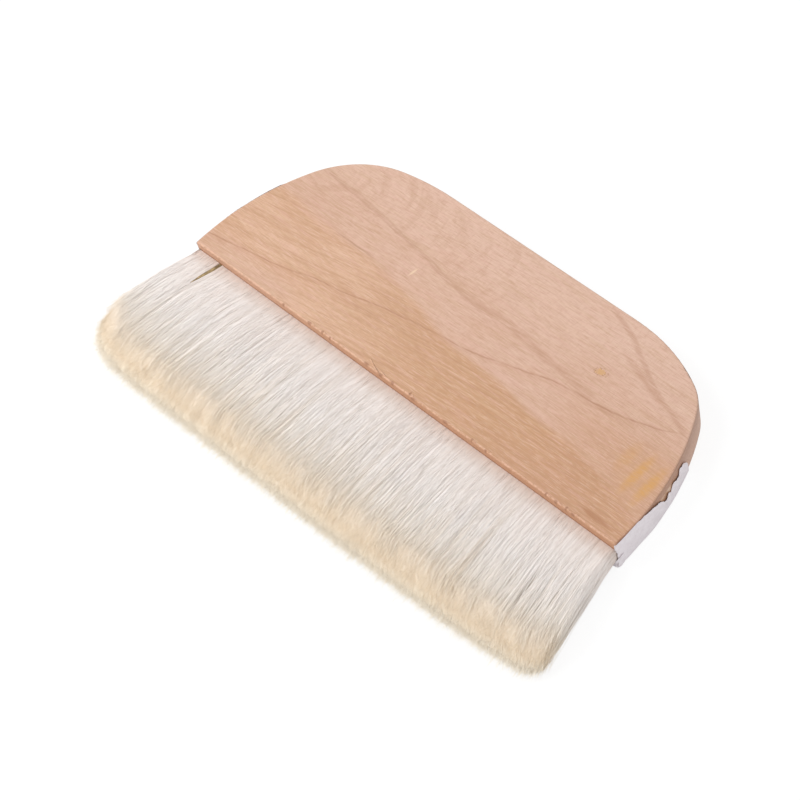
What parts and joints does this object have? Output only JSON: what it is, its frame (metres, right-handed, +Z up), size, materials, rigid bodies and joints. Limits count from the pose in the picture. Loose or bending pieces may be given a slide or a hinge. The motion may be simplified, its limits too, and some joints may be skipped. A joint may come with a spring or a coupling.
{
  "type": "pastry brush",
  "caption": "Flat pastry brush: D-shaped wooden handle, slotted along its straight edge for a fanned row of white goat-hair bundles set in resin, with paper tape over the slot's ends.",
  "frame": {"origin": "middle of the whole brush's footprint in X and Y, on the plane of the handle's back face, which it lies on", "axes": "+X along the mouth of the handle towards the end with the torn tape, +Y from the hair tips to the handle's crown, +Z up through the thickness"},
  "size_m": [0.1893, 0.1104, 0.0116],
  "materials": {
    "handle_wood": "satin",
    "goat_hair": "matte",
    "root_resin": "gloss",
    "end_tape": "matte"
  },
  "bodies": {
    "root": {"handle_board": "handle_wood", "hair_bundle_01": "goat_hair", "hair_bundle_02": "goat_hair", "hair_bundle_03": "goat_hair", "hair_bundle_04": "goat_hair", "hair_bundle_05": "goat_hair", "hair_bundle_06": "goat_hair", "hair_bundle_07": "goat_hair", "hair_bundle_08": "goat_hair", "hair_bundle_09": "goat_hair", "hair_bundle_10": "goat_hair", "hair_bundle_11": "goat_hair", "hair_bundle_12": "goat_hair", "root_resin": "root_resin", "end_tape_left": "end_tape", "end_tape_right": "end_tape"}
  },
  "joints": []
}
